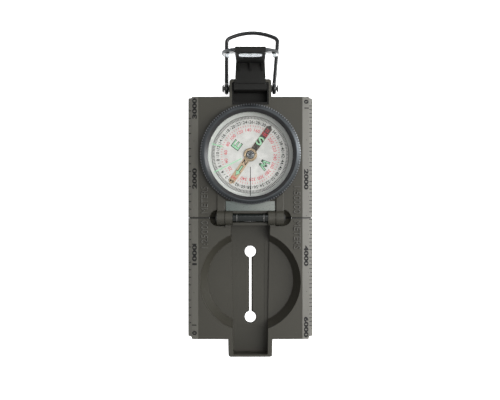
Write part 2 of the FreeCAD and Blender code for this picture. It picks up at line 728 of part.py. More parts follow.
# a black sleeve fills the hinge between the lid's knuckles, with a bright clip near each end
sleeve_half = lid_knuckle_in - 0.1
node("hinge_sleeve", spun("hinge_sleeve_body", [
    (-sleeve_half, pin_rad + pin_play), (-sleeve_half, sleeve_rad), (sleeve_half, sleeve_rad),
    (sleeve_half, pin_rad + pin_play)], -hinge_back, hinge_z))


def clip(side):
    low, high = span(side, clip_place, clip_place + clip_wide)
    return spun("clip_%d" % (side > 0), [
        (low, sleeve_rad), (low, sleeve_rad + clip_wall), (high, sleeve_rad + clip_wall),
        (high, sleeve_rad)], -hinge_back, hinge_z)


node("hinge_clips", joined("clip_pair", mirrored_pair(clip)))

# ---- loupe: an arm on the tab's axle, a frame standing on it and a lens ---------------------

cradle_half = tab_inner - 0.1
cradle_wall = cradle_half - barrel_half - clearance
cradle_back = cup_rad + 1.4
cradle_front = tab_end - tab_wall - 0.3
cradle_low = tab_under + 0.2
swing_rad = arm_rise + arm_thick + clearance
cradle_block = box("cradle_block", (-cradle_half, cradle_back, cradle_low),
                   (cradle_half, cradle_front, tab_top - 0.3))
cradle_room = box("cradle_room", (-cradle_half + cradle_wall, axle_far - swing_rad,
                                  axle_z - barrel_rad - clearance),
                  (cradle_half - cradle_wall, tab_end, 2 * leaf_top))
cradle_bore = rod("cradle_bore", axle_rad, (-tab_half, axle_far, axle_z), 2 * tab_half, True)
node("loupe_cradle", without("cradle_solid", cradle_block, [cradle_room, cradle_bore]))

axle_end = loop_half + loop_wire / 2 + 0.4
axle_tip = axle_end + axle_head_long
node("tab_axle", spun("tab_axle_body", [
    (-axle_tip, 0), (-axle_tip, axle_head_rad - 0.5), (-axle_tip + 0.4, axle_head_rad),
    (-axle_end, axle_head_rad), (-axle_end, axle_rad), (axle_end, axle_rad),
    (axle_end, axle_head_rad), (axle_tip - 0.4, axle_head_rad), (axle_tip, axle_head_rad - 0.5),
    (axle_tip, 0)], axle_far, axle_z))


def spacer(side):
    low, high = span(side, tab_half, tab_half + spacer_long)
    return spun("spacer_%d" % (side > 0), [
        (low, axle_rad), (low, spacer_rad), (high, spacer_rad), (high, axle_rad)], axle_far, axle_z)


node("loop_spacers", joined("spacer_pair", mirrored_pair(spacer)))

arm_low = axle_z + arm_rise
arm_high = arm_low + arm_thick
frame_face = axle_far + frame_out
frame_back = frame_face + frame_thick
lip_back = frame_face + lip_long
barrel = rod("loupe_barrel", barrel_rad, (-barrel_half, axle_far, axle_z), 2 * barrel_half, True)
web = box("loupe_web", (-barrel_half, axle_far - 1, axle_z),
          (barrel_half, axle_far + barrel_rad - 0.3, arm_high - 0.5))
hood_block = box("loupe_hood_block", (-barrel_half, axle_far - 1.9, arm_low),
                 (barrel_half, axle_far + barrel_rad, arm_high))
hood = rounded("loupe_hood", hood_block, as_size(0.9), lambda e: (
    e.BoundBox.ZMin > arm_high.value - 0.01 and e.BoundBox.XLength > 1))
plate_top = padded("loupe_plate", "XY_Plane", [
    (-arm_half, axle_far), (-arm_tip_half, lip_back), (arm_tip_half, lip_back),
    (arm_half, axle_far)], arm_low, arm_high - 0.3)
gussets = [padded("gusset_%d" % (n + 2), "YZ_Plane", [
    (frame_face - gusset_long, arm_high - 0.4), (frame_face, arm_high - 0.4),
    (frame_face, arm_high + gusset_long - 0.6)],
    n * gusset_apart - gusset_thick / 2, n * gusset_apart + gusset_thick / 2) for n in (-1, 0, 1)]
arm_solid = joined("arm_solid", [barrel, web, hood, plate_top] + gussets)
axle_hole = rod("axle_hole", axle_rad + axle_play, (-barrel_half - 1, axle_far, axle_z),
                2 * barrel_half + 2, True)
node("loupe_arm", without("loupe_arm_solid", arm_solid, [axle_hole]))

# the frame stands on the arm's plate; its lip reaches over the lens behind it
lens_z = axle_z + lens_up
lip_low = lens_z + lens_rad + 0.05
frame_top = lip_low + lip_thick
frame_plate = box("frame_plate", (-frame_half, frame_face, arm_high - 0.3),
                  (frame_half, frame_back, frame_top))
window_block = box("frame_window", (-frame_half + frame_bar, frame_face - 1, lens_z - window_below),
                   (frame_half - frame_bar, frame_back + 1, lip_low - 2 * frame_bar))
window = rounded("frame_window_round", window_block, window_round, lambda e: e.BoundBox.YLength > 2)
lip = box("frame_lip", (-frame_half, frame_face, lip_low), (frame_half, lip_back, frame_top))
frame_solid = joined("frame_solid", [frame_plate, lip])
node("lens_frame", without("lens_frame_solid", frame_solid, [window]))

# the lens is crowned on both sides and bonded to the frame's outer face
lens_half = lens_thick / 2
rim_half = lens_half - lens_crown
crown_steps = [0, 0.25, 0.5, 0.75, 1]
front_crown = [(lens_rad * t, rim_half + lens_crown * (1 - t * t)) for t in crown_steps]
back_crown = [(r, -z) for r, z in reversed(front_crown)]
lens_body = turned("lens_body", front_crown + back_crown)
lens_body.Placement = FreeCAD.Placement(FreeCAD.Vector(),
                                        FreeCAD.Rotation(FreeCAD.Vector(1, 0, 0), 90))
placed(lens_body, 0, frame_back + lens_half, lens_z)
node("loupe_lens", lens_body)

# ---- thumb loop: one bent wire with an eye at each end, its far end on the table -------------

# The wire is drawn flat about the axle and then tipped until its far end touches the table.
wire_rad = loop_wire / 2
droop = math.degrees(math.asin((axle_z.value - wire_rad.value) / loop_reach.value))


def arc_between(start, centre, end):
    """An arc from start to end about a centre, the short way round."""
    radius = (start - centre).Length
    middle = centre + ((start - centre) + (end - centre)).normalize() * radius
    return Part.Arc(start, middle, end).toShape()


def bent_wire():
    """The wire's centre line: a straight leg, a corner, a shallow crown, a corner, a leaning leg."""
    foot = [FreeCAD.Vector(side * loop_half.value, eye_rad.value, 0) for side in (-1, 1)]
    shoulder_y = loop_reach.value - loop_crown.value
    shoulder = [FreeCAD.Vector(-loop_half.value, shoulder_y, 0),
                FreeCAD.Vector(loop_half.value + loop_lean.value, shoulder_y, 0)]
    corner = loop_corner.value
    lean = (shoulder[1] - foot[1]).normalize()
    centre = [shoulder[0] + FreeCAD.Vector(corner, 0, 0),
              shoulder[1] + FreeCAD.Vector(-lean.y, lean.x, 0) * corner]
    middle = (centre[0] + centre[1]) * 0.5
    half_apart = (centre[1] - centre[0]).Length / 2
    rise = loop_reach.value - middle.y
    crown = (rise ** 2 + half_apart ** 2 - corner ** 2) / (2 * (rise - corner))
    across = (centre[1] - centre[0]).normalize()
    down = FreeCAD.Vector(across.y, -across.x, 0)
    crown_centre = middle + down * math.sqrt((crown - corner) ** 2 - half_apart ** 2)
    touch = [crown_centre + (c - crown_centre).normalize() * crown for c in centre]
    return Part.Wire([
        Part.makeLine(foot[0], shoulder[0]), arc_between(shoulder[0], centre[0], touch[0]),
        arc_between(touch[0], crown_centre, touch[1]), arc_between(touch[1], centre[1], shoulder[1]),
        Part.makeLine(shoulder[1], foot[1])])


spine = bent_wire()
start_circle = Part.makeCircle(wire_rad.value, FreeCAD.Vector(-loop_half.value, eye_rad.value, 0),
                               FreeCAD.Vector(0, 1, 0))
swept = spine.makePipeShell([Part.Wire([start_circle])], True, True)
eyes = []
for side in (-1, 1):
    eyes.append(Part.makeTorus(eye_rad.value, wire_rad.value,
                               FreeCAD.Vector(side * loop_half.value, 0, 0), FreeCAD.Vector(1, 0, 0)))
loop = doc.addObject("Part::Feature", "thumb_loop_wire")
loop.Shape = swept.fuse(eyes).removeSplitter()
loop.Placement = FreeCAD.Placement(FreeCAD.Vector(0, axle_far.value, axle_z.value),
                                   FreeCAD.Rotation(FreeCAD.Vector(1, 0, 0), -droop))
node("thumb_loop", loop)

# ---- check and write ------------------------------------------------------------------------

doc.recompute()
for thing in doc.Objects:
    if "Invalid" in thing.State or "Error" in thing.State:
        raise RuntimeError("%s did not rebuild" % thing.Label)

os.makedirs("parts", exist_ok=True)
for name, thing in nodes:
    shape = thing.Shape
    if shape.isNull() or not shape.isValid() or not shape.Solids:
        raise RuntimeError("%s is not a valid solid" % name)
    shape.exportStep("parts/%s.step" % name)
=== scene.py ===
import json
import math

import bpy
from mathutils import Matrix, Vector


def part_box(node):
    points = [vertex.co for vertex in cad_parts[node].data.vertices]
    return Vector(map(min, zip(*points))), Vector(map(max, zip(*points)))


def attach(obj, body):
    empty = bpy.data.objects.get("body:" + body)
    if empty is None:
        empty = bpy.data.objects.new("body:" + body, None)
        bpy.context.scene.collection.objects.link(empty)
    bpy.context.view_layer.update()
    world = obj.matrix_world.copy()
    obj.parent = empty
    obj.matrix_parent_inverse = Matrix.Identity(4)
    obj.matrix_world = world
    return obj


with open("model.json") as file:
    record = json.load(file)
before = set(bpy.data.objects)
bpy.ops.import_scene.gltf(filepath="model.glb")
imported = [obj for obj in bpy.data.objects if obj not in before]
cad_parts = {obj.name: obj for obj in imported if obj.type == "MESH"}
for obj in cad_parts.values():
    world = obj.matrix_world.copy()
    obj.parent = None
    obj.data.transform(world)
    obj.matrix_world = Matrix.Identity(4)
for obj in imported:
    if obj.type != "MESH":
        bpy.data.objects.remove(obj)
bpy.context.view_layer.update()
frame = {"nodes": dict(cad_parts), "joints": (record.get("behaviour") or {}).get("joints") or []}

# The table and the light.  A white table glows a little, so that no shadow falls on it, under
# a white sky brighter at the back and the right.  Three softboxes there give the rules, the
# bezel and the dish their sheen.  The camera looks straight down on the opened compass.

scene = bpy.context.scene
scene.view_settings.view_transform = "Standard"

table_half = 3.0
table_mesh = bpy.data.meshes.new("table")
table_mesh.from_pydata([(-table_half, -table_half, 0), (table_half, -table_half, 0),
                        (table_half, table_half, 0), (-table_half, table_half, 0)], [], [(0, 1, 2, 3)])
table = bpy.data.objects.new("table", table_mesh)
scene.collection.objects.link(table)
table_white = bpy.data.materials.new("table_white")
table_white.use_nodes = True
table_shader = table_white.node_tree.nodes["Principled BSDF"]
table_shader.inputs["Base Color"].default_value = (0.93, 0.93, 0.93, 1)
table_shader.inputs["Roughness"].default_value = 0.9
table_shader.inputs["Specular IOR Level"].default_value = 0.1
table_shader.inputs["Emission Color"].default_value = (1, 1, 1, 1)
table_shader.inputs["Emission Strength"].default_value = 0.85
table_mesh.materials.append(table_white)

sky = bpy.data.worlds.new("sky")
sky.use_nodes = True
sky_nodes = sky.node_tree.nodes
sky_links = sky.node_tree.links
sky_nodes["Background"].inputs["Color"].default_value = (1.0, 1.0, 1.0, 1)
sky_dim = 0.54
sky_bright = 0.84
sky_direction = sky_nodes.new("ShaderNodeTexCoord")
sky_towards = sky_nodes.new("ShaderNodeVectorMath")
sky_towards.operation = "DOT_PRODUCT"
sky_towards.inputs[1].default_value = (0.72, 0.69, 0.0)
sky_strength = sky_nodes.new("ShaderNodeMapRange")
sky_strength.inputs["From Min"].default_value = -1.0
sky_strength.inputs["To Min"].default_value = sky_dim
sky_strength.inputs["To Max"].default_value = sky_bright
sky_links.new(sky_direction.outputs["Generated"], sky_towards.inputs[0])
sky_links.new(sky_towards.outputs["Value"], sky_strength.inputs["Value"])
sky_links.new(sky_strength.outputs["Result"], sky_nodes["Background"].inputs["Strength"])
scene.world = sky


def softbox(name, place, aim, size, watts, colour):
    """A rectangular light that hangs at a place and faces an aim; metres."""
    light = bpy.data.lights.new(name, "AREA")
    light.shape = "RECTANGLE"
    light.size, light.size_y = size
    light.energy = watts
    light.color = colour
    lamp = bpy.data.objects.new(name, light)
    scene.collection.objects.link(lamp)
    lamp.location = place
    lamp.rotation_euler = (Vector(aim) - Vector(place)).to_track_quat("-Z", "Y").to_euler()


softbox("right_softbox", (0.41, -0.03, 0.70), (0.0, -0.03, 0.01), (0.36, 0.62), 5.6, (1.0, 0.99, 0.96))
softbox("low_softbox", (0.78, 0.16, 0.33), (0.0, -0.02, 0.01), (0.30, 0.40), 7.0, (0.97, 0.99, 1.0))
softbox("back_softbox", (0.25, 0.75, 0.50), (0.0, 0.0, 0.01), (0.45, 0.25), 1.6, (0.94, 0.97, 1.0))

hinge_lift = 1.2
hinge_joint = next(joint for joint in frame["joints"] if joint["name"] == "lid_hinge")
hinge_y, hinge_z = (coordinate * 1000 for coordinate in hinge_joint["pos_m"][1:])
leaf_top = hinge_z - hinge_lift
eye_height = 445
eye_x = -0.2
eye_y = -24.05
view_wide = 263.85
sensor_wide = 36
camera_data = bpy.data.cameras.new("camera")
camera_data.sensor_width = sensor_wide
camera_data.lens = sensor_wide * eye_height / view_wide
camera_data.clip_start = 0.01
camera = bpy.data.objects.new("camera", camera_data)
camera.location = Vector((eye_x, eye_y, leaf_top + eye_height)) / 1000
scene.collection.objects.link(camera)
scene.camera = camera


# The two leaves.  Die-cast light alloy dipped in satin olive-drab enamel with a fine
# orange-peel surface.  The sloping rules along the long edges are cast in and varnished, and
# their lighter grey is a painted sheen for the light that varnish reflects; the enamel is
# rubbed thin along the outer edges.  Painted shade blacks the enamel beside the hinge gap and
# under the bezel's teeth.


class Signal:
    """A number, colour or vector inside a finish.  Python's operators add the nodes."""

    def __init__(self, finish, socket):
        self.finish = finish
        self.socket = socket

    def is_vector(self):
        return self.socket.type == "VECTOR"

    def combine(self, operation, first, second):
        if self.is_vector():
            return self.finish.node("VectorMath", {"operation": operation}, {0: first, 1: second})
        return self.finish.node("Math", {"operation": operation}, {0: first, 1: second})

    def __add__(self, other):
        return self.combine("ADD", self, other)

    def __sub__(self, other):
        return self.combine("SUBTRACT", self, other)

    def __rsub__(self, other):
        return self.combine("SUBTRACT", other, self)

    def __mul__(self, other):
        return self.combine("MULTIPLY", self, other)

    def __truediv__(self, other):
        return self.combine("DIVIDE", self, other)

    def __pow__(self, other):
        return self.combine("POWER", self, other)

    def size(self):
        """How far a number is from 0."""
        return self.finish.node("Math", {"operation": "ABSOLUTE"}, {0: self})

    def wave(self):
        """The number's sine."""
        return self.finish.node("Math", {"operation": "SINE"}, {0: self})

    def above(self, edge, soft):
        """0 below the edge and 1 above it, with a soft step between."""
        return self.finish.node("MapRange", {"interpolation_type": "SMOOTHSTEP"}, {
            "Value": self, "From Min": edge - soft, "From Max": edge + soft})

    def mixed(self, low, high):
        """The colour low where this is 0 and high where it is 1."""
        return self.finish.node("Mix", {"data_type": "RGBA"}, {0: self, 6: low, 7: high}, 2)

    __radd__ = __add__
    __rmul__ = __mul__


class Finish:
    """A material whose Principled shader is fed by signals."""

    def __init__(self, name):
        self.material = bpy.data.materials.new(name)
        self.material.use_nodes = True
        self.tree = self.material.node_tree
        self.shader = self.tree.nodes["Principled BSDF"]
        self.output = self.tree.nodes["Material Output"]

    def node(self, kind, settings, sockets, output=0):
        made = self.tree.nodes.new("ShaderNode" + kind)
        for name, value in settings.items():
            setattr(made, name, value)
        for name, value in sockets.items():
            self.feed(made.inputs[name], value)
        return Signal(self, made.outputs[output])

    def feed(self, socket, value):
        if isinstance(value, Signal):
            self.tree.links.new(value.socket, socket)
        elif isinstance(value, tuple) and socket.type == "RGBA" and len(value) == 3:
            socket.default_value = (*value, 1)
        else:
            socket.default_value = value

    def set(self, **sockets):
        """Base_Color=..., Roughness=... on the Principled shader."""
        for name, value in sockets.items():
            self.feed(self.shader.inputs[name.replace("_", " ")], value)

    def place(self):
        """Where the point is in the piece's own frame, in millimetres."""
        return self.node("TexCoord", {}, {}, 3) * (1000, 1000, 1000)

    def axis(self, vector, name):
        return self.node("SeparateXYZ", {}, {0: vector}, "XYZ".index(name))

    def reach(self, vector):
        """How far the point is from the dial's axis, in millimetres."""
        flat = vector * (1, 1, 0)
        return self.node("VectorMath", {"operation": "LENGTH"}, {0: flat}, "Value")

    def turn(self, vector):
        """The point's bearing about the dial's axis, in radians."""
        return self.node("Math", {"operation": "ARCTAN2"}, {
            0: self.axis(vector, "Y"), 1: self.axis(vector, "X")})

    def noise(self, vector, scale, detail=3.0, rough=0.5):
        return self.node("TexNoise", {}, {
            "Vector": vector, "Scale": scale, "Detail": detail, "Roughness": rough})

    def bump(self, height, depth_mm):
        """A surface that rises by depth_mm where height goes from 0 to 1."""
        return self.node("Bump", {}, {"Strength": 1.0, "Distance": depth_mm / 1000, "Height": height})


def paint(name, finish):
    """Give a CAD node its finish."""
    mesh = frame["nodes"][name].data
    mesh.materials.clear()
    mesh.materials.append(finish.material)


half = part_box("base_leaf")[1].x * 1000
rule_wide = 5.3
rule_drop = 0.45
tick_wide = 2.0
tick_drop = 1.1
olive_dark = (0.0215, 0.0203, 0.0152)
olive_light = (0.0300, 0.0280, 0.0212)
olive_worn = (0.12, 0.115, 0.095)
rule_sheen_grey = (0.080, 0.0775, 0.068)
painted_shade_black = (0.004, 0.004, 0.004)


def olive_enamel(name, shift, ring=None):
    """Olive enamel; shift moves the pattern, and ring spans the radii blacked as painted shade under the
    bezel's teeth.
    """
    finish = Finish(name)
    place = finish.place()
    spot = place + (shift, 0, 0)
    cloud = finish.noise(spot, 0.05)
    fine = finish.noise(spot, 1.1, 4.0, 0.6)
    peel = finish.noise(spot, 2.6, 2.0)
    rubbed = finish.noise(spot, 0.35, 3.0)
    split = (finish.axis(place, "Y") - hinge_y).size()
    across = finish.axis(place, "X").size()
    height = finish.axis(place, "Z")
    rule = across.above(half - rule_wide, 0.06) * height.above(leaf_top - tick_drop - 0.3, 0.1)
    edge = across.above(half - 0.12, 0.1) * rubbed.above(0.45, 0.1)
    colour = (cloud * 0.7 + fine * 0.3).mixed(olive_dark, olive_light)
    colour = (fine.above(0.70, 0.03) * 0.25).mixed(colour, olive_worn)
    # Painted sheen: the rules' lighter grey stands in for the light their varnish reflects.
    colour = rule.mixed(colour, rule_sheen_grey)
    colour = (edge * 0.6).mixed(colour, olive_worn)
    # Painted shade: the enamel beside the hinge gap is blacked where the shade falls into the gap.
    hinge_gap_shade = (1 - split.above(0.40, 0.14)) * (1 - height.above(leaf_top + 0.4, 0.2))
    colour = (hinge_gap_shade * 0.85).mixed(colour, painted_shade_black)
    if ring:
        # Painted shade: the case under the bezel's teeth is blacked where the bezel shades it.
        reach = finish.reach(place)
        bezel_ring_shade = reach.above(ring[0], 0.2) * (1 - reach.above(ring[1], 0.12))
        bezel_ring_shade = bezel_ring_shade * height.above(leaf_top - 0.4, 0.2)
        colour = (bezel_ring_shade * 0.92).mixed(colour, painted_shade_black)
    finish.set(Base_Color=colour, Roughness=0.44 + fine * 0.12 - rule * 0.16, Specular_IOR_Level=0.32,
               Normal=finish.bump((peel * 0.7 + fine * 0.3) * (1 - rule * 0.8), 0.014))
    return finish


bezel_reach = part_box("bezel")[1].x * 1000
case_enamel = olive_enamel("case_enamel", 0.0, (bezel_reach - 1.6, bezel_reach + 0.15))
lid_enamel = olive_enamel("lid_enamel", 91.0)
paint("base_leaf", case_enamel)
paint("lid_leaf", lid_enamel)


# The two map rules.  Black ticks and numbers are filled into the varnish of the sloping
# edges: hundreds of metres at 1:50 000 on the right leaf edge and at 1:25 000 on the left.
# The marks on the lid and on the case are separate pieces, so they part at the hinge.


class Marks:
    """Filled or raised marks, gathered into one mesh that lies on a surface; millimetres."""

    def __init__(self, surface, thick):
        self.surface = surface
        self.thick = thick
        self.points = []
        self.faces = []

    def prism(self, outline):
        """A thin closed block over an outline of (x, y) points in turning order."""
        start = len(self.points)
        count = len(outline)
        for lift in (-0.5 * self.thick, self.thick):
            self.points += [(x, y, self.surface(x, y) + lift) for x, y in outline]
        self.faces.append([start + i for i in reversed(range(count))])
        self.faces.append([start + count + i for i in range(count)])
        for i in range(count):
            after = (i + 1) % count
            self.faces.append([start + i, start + after, start + count + after, start + count + i])

    def bar(self, start, end, width):
        ax, ay = start
        bx, by = end
        long = math.hypot(bx - ax, by - ay)
        sx, sy = -(by - ay) / long * width / 2, (bx - ax) / long * width / 2
        self.prism([(ax - sx, ay - sy), (bx - sx, by - sy), (bx + sx, by + sy), (ax + sx, ay + sy)])

    def words(self, text, centre, turn, height, long=None, bold=0.0, soft=0.0):
        """Lettering about a centre; turn is its reading direction, anticlockwise from +X."""
        curve = bpy.data.curves.new("words", "FONT")
        curve.body = text
        curve.extrude = 0.5
        curve.offset = bold - soft
        curve.bevel_depth = soft
        curve.bevel_resolution = 2 if soft else 0
        curve.resolution_u = 4
        writer = bpy.data.objects.new("words", curve)
        mesh = bpy.data.meshes.new_from_object(writer)
        xs, ys = [v.co.x for v in mesh.vertices], [v.co.y for v in mesh.vertices]
        tall, wide = max(ys) - min(ys), max(xs) - min(xs)
        grow_y = height / tall
        grow_x = long / wide if long else grow_y
        mid_x, mid_y = (max(xs) + min(xs)) / 2, (max(ys) + min(ys)) / 2
        cosine, sine = math.cos(math.radians(turn)), math.sin(math.radians(turn))
        start = len(self.points)
        for vertex in mesh.vertices:
            x, y = (vertex.co.x - mid_x) * grow_x, (vertex.co.y - mid_y) * grow_y
            px, py = centre[0] + x * cosine - y * sine, centre[1] + x * sine + y * cosine
            lift = -0.5 * self.thick
            if vertex.co.z > 0:
                lift = self.thick + (vertex.co.z - 0.5 - soft) * grow_y
            self.points.append((px, py, self.surface(px, py) + lift))
        for face in mesh.polygons:
            self.faces.append([start + i for i in face.vertices])
        bpy.data.objects.remove(writer)
        bpy.data.curves.remove(curve)
        bpy.data.meshes.remove(mesh)

    def piece(self, name, finish, body):
        mesh = bpy.data.meshes.new(name)
        mesh.from_pydata([Vector(p) / 1000 for p in self.points], [], self.faces)
        mesh.validate()
        mesh.materials.append(finish.material)
        made = bpy.data.objects.new(name, mesh)
        scene.collection.objects.link(made)
        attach(made, body)


def leaf_height(x, y):
    """The leaf's upper face, with the rule's two slopes."""
    inward = half - abs(x)
    if inward >= rule_wide:
        return leaf_top
    if inward >= tick_wide:
        return leaf_top - rule_drop * (rule_wide - inward) / (rule_wide - tick_wide)
    return leaf_top - rule_drop - (tick_drop - rule_drop) * (tick_wide - inward) / tick_wide


def ink(name, colour, sheen):
    """Printing ink: thin in places, with a faintly broken edge."""
    finish = Finish(name)
    place = finish.place()
    patch = finish.noise(place, 1.3, 4.0, 0.65)
    thin = tuple(0.85 * c + 0.012 for c in colour)
    finish.set(Base_Color=patch.above(0.62, 0.12).mixed(colour, thin), Roughness=sheen + patch * 0.15,
               Specular_IOR_Level=0.2, Normal=finish.bump(patch, 0.006))
    return finish


black_ink = ink("black_ink", (0.006, 0.006, 0.006), 0.6)
number_high = 2.45
right_first = 27.7
left_first = -92.9
lid_rule = Marks(leaf_height, 0.03)
case_rule = Marks(leaf_height, 0.03)


def rule_for(y):
    return case_rule if y > hinge_y else lid_rule


for tick in range(61):
    y = right_first - 2 * tick
    long = 3.1 if tick % 10 == 0 else 2.2 if tick % 5 == 0 else 1.55
    rule_for(y).bar((half - 0.02, y), (half - 0.1 - long, y), 0.42)
for tick in range(31):
    y = left_first + 4 * tick
    long = 3.0 if tick % 5 == 0 else 1.35
    rule_for(y).bar((-half + 0.02, y), (-half + 0.1 + long, y), 0.42)
number_x = 29.5
number_apart = 2.9
number_bold = 0.045
for text, right_y in (("0", 27.8), ("2000", -13.1), ("4000", -53.5), ("6000", -91.1)):
    rule_for(right_y).words(text, (number_x, right_y), -90, number_high,
                            number_apart * len(text) - 0.7, number_bold)
for text, left_y in (("0", -94.3), ("1000", -53.0), ("2000", -12.7), ("3000", 24.3)):
    rule_for(left_y).words(text, (-number_x, left_y), 90, number_high,
                           number_apart * len(text) - 0.7, number_bold)
rule_for(24.5).bar((28.5, 24.5), (30.9, 24.5), 0.55)
rule_for(-90.1).bar((-28.5, -90.1), (-30.9, -90.1), 0.55)
rule_for(-47.4).bar((-28.5, -47.4), (-30.9, -47.4), 0.55)
case_rule.piece("case_rule_marks", black_ink, "case")
lid_rule.piece("lid_rule_marks", black_ink, "lid")


# The raised legends beside the rules, a scale and its unit on each leaf.  They are cast with
# the leaves and painted over, so they show by the light on their edges and by a painted
# shadow, a dark copy of each legend set a little towards -X.

legend_high = 3.5
legend_left = -24.2
legend_right = 24.6
legend_rise = 0.45
legend_round = 0.03
legend_enamel = olive_enamel("legend_enamel", 37.0)
legend_enamel.set(Roughness=0.28, Specular_IOR_Level=0.6, Coat_Weight=0.5)
# Painted shadow: a dark copy of each legend, set a little towards -X, on the side away from the lamps.
legend_shadow_ink = ink("legend_shadow_ink", (0.010, 0.0095, 0.0075), 0.7)
shadow_shift = 0.3
for body, legends in (("case", (("METERS", legend_left, -24.0, 90, 14.2),
                                ("1:50000", legend_right, -24.0, -90, 14.4))),
                      ("lid", (("1:25000", legend_left, -42.2, 90, 14.6),
                               ("METERS", legend_right, -42.4, -90, 15.0)))):
    raised = Marks(leaf_height, legend_rise)
    painted_shadow = Marks(leaf_height, 0.02)
    for text, x, y, turn, long in legends:
        raised.words(text, (x, y), turn, legend_high, long, 0.0, legend_round)
        painted_shadow.words(text, (x - shadow_shift, y), turn, legend_high, long, 0.0)
    raised.piece(body + "_legend", legend_enamel, body)
    painted_shadow.piece(body + "_legend_painted_shadow", legend_shadow_ink, body)


# The hinge.  A blackened steel pin is headed over in the case's knuckles, and a glossy
# black enamelled sleeve fills the lid's side, held by two steel spring clips.


def metal(name, colour, rough, shine, grain=0.006, scale=3.0):
    """Plated, blackened or painted metal with fine handling marks."""
    finish = Finish(name)
    place = finish.place()
    cloud = finish.noise(place, 0.35, 3.0)
    fine = finish.noise(place, scale, 4.0, 0.6)
    scratch = finish.noise(place * (0.4, 3.0, 0.4), 2.0, 3.0, 0.7).above(0.66, 0.03)
    dark = tuple(c * 0.75 for c in colour)
    light = tuple(min(1.0, c * 1.6 + 0.01) for c in colour)
    colours = (scratch * 0.3).mixed(cloud.mixed(dark, colour), light)
    finish.set(Base_Color=colours, Metallic=shine, Roughness=rough + fine * 0.14 - 0.05,
               Normal=finish.bump(fine, grain))
    return finish


paint("hinge_sleeve", metal("black_enamel", (0.006, 0.008, 0.0075), 0.14, 0.0, 0.003))
blackened = metal("blackened_steel", (0.05, 0.05, 0.05), 0.42, 0.8)
paint("hinge_pin", blackened)
paint("hinge_clips", metal("clip_steel", (0.17, 0.17, 0.165), 0.34, 1.0))


# The signalling and reading mirror in front of the dial.  It is a polished steel strip with
# bevelled ends, laid in a bed in the case; its face has dulled to a greenish grey.

mirror_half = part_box("front_mirror")[1].x * 1000
mirror_face = Finish("mirror_face")
mirror_place = mirror_face.place()
mirror_across = mirror_face.axis(mirror_place, "X")
mirror_haze = mirror_face.noise(mirror_place, 0.12, 3.0)
mirror_rub = mirror_face.noise(mirror_place * (1.0, 6.0, 1.0), 0.9, 3.0)
# Painted reflection: the face is lighter towards +X, standing in for the lamps on the right; the haze mixed
# in is the face's own.
mirror_reflection_ramp = mirror_across / (2 * mirror_half) + 0.5
mirror_colour = (mirror_reflection_ramp * 0.8 + mirror_haze * 0.2).mixed((0.105, 0.125, 0.120), (0.165, 0.175, 0.165))
mirror_face.set(Base_Color=mirror_colour,
                Metallic=0.9, Roughness=0.22 + mirror_rub * 0.16, Normal=mirror_face.bump(mirror_rub, 0.004))
paint("front_mirror", mirror_face)


# The capsule.  A pressed, plated bowl holds the card; a white plastic surround lies round
# the card, and a rubber gasket and a screwed clamp hold the fixed crystal, whose underside
# carries the black index line.


def plastic(name, colour, rough, grain, scale):
    """Moulded plastic or rubber with a fine matt grain."""
    finish = Finish(name)
    place = finish.place()
    cloud = finish.noise(place, 0.3, 3.0)
    fine = finish.noise(place, scale, 3.0, 0.6)
    dark = tuple(c * 0.82 for c in colour)
    finish.set(Base_Color=(cloud * 0.7 + fine * 0.3).mixed(dark, colour),
               Roughness=rough + fine * 0.14 - 0.07, Normal=finish.bump(fine, grain))
    return finish


def clear(name):
    """Clear acrylic: it lets light straight through and shines only at a slant."""
    finish = Finish(name)
    through = finish.tree.nodes.new("ShaderNodeBsdfTransparent")
    gloss = finish.tree.nodes.new("ShaderNodeBsdfGlossy")
    gloss.inputs["Roughness"].default_value = 0.03
    slant = finish.node("LayerWeight", {}, {"Blend": 0.5}, "Facing")
    sheen = slant ** 5.0 * 0.85 + 0.01
    mix = finish.tree.nodes.new("ShaderNodeMixShader")
    finish.tree.links.new(sheen.socket, mix.inputs[0])
    finish.tree.links.new(through.outputs[0], mix.inputs[1])
    finish.tree.links.new(gloss.outputs[0], mix.inputs[2])
    finish.tree.links.new(mix.outputs[0], finish.output.inputs[0])
    return finish


pane = clear("crystal_glass")
paint("capsule_crystal", pane)
paint("bezel_crystal", pane)
bright = metal("bright_steel", (0.62, 0.62, 0.60), 0.24, 1.0)
paint("capsule_bowl", bright)
paint("capsule_clamp", blackened)
paint("capsule_gasket", plastic("gasket_rubber", (0.02, 0.02, 0.02), 0.7, 0.01, 3.0))
paint("dial_surround", plastic("surround_white", (0.455, 0.475, 0.455), 0.5, 0.01, 4.0))
paint("pivot_post", metal("post_brass", (0.45, 0.34, 0.17), 0.3, 1.0))

crystal_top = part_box("capsule_crystal")[1].z * 1000
index_line = Marks(lambda x, y: crystal_top, 0.03)
index_line.bar((0.0, -6.6), (0.0, -21.9), 0.38)
index_line.piece("index_line", black_ink, "case")


# The compass card.  A thin disc of pearly plastic, printed in black with 64 hundreds of mils
# inside a band of fine ticks, and in red with degrees; the cardinal letters are luminous
# paint with a dark outline.  It is printed so that the numbers read from the rim.

card_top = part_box("compass_card")[1].z * 1000
north = 215.5
card_base = Finish("card_pearl")
card_place = card_base.place()
card_cloud = card_base.noise(card_place, 0.16, 4.0, 0.6)
card_swirl = card_base.noise(card_place + (40, 0, 0), 0.45, 3.0, 0.55)
card_reach = card_base.reach(card_place)
card_band = card_reach.above(19.0, 0.08)
card_pattern = card_cloud.above(0.5, 0.14) * 0.6 + card_swirl * 0.4
card_colour = card_pattern.mixed((0.39, 0.395, 0.38), (0.56, 0.56, 0.54))
card_colour = (card_band * 0.30).mixed(card_colour, (0.20, 0.21, 0.20))
card_base.set(Base_Color=card_colour, Roughness=0.42 + card_swirl * 0.12,
              Normal=card_base.bump(card_swirl, 0.01))
paint("compass_card", card_base)


def dial_point(bearing, reach):
    """A point on the dial; the bearing is clockwise from the far side."""
    return reach * math.sin(math.radians(bearing)), reach * math.cos(math.radians(bearing))


def on_card(x, y):
    return card_top


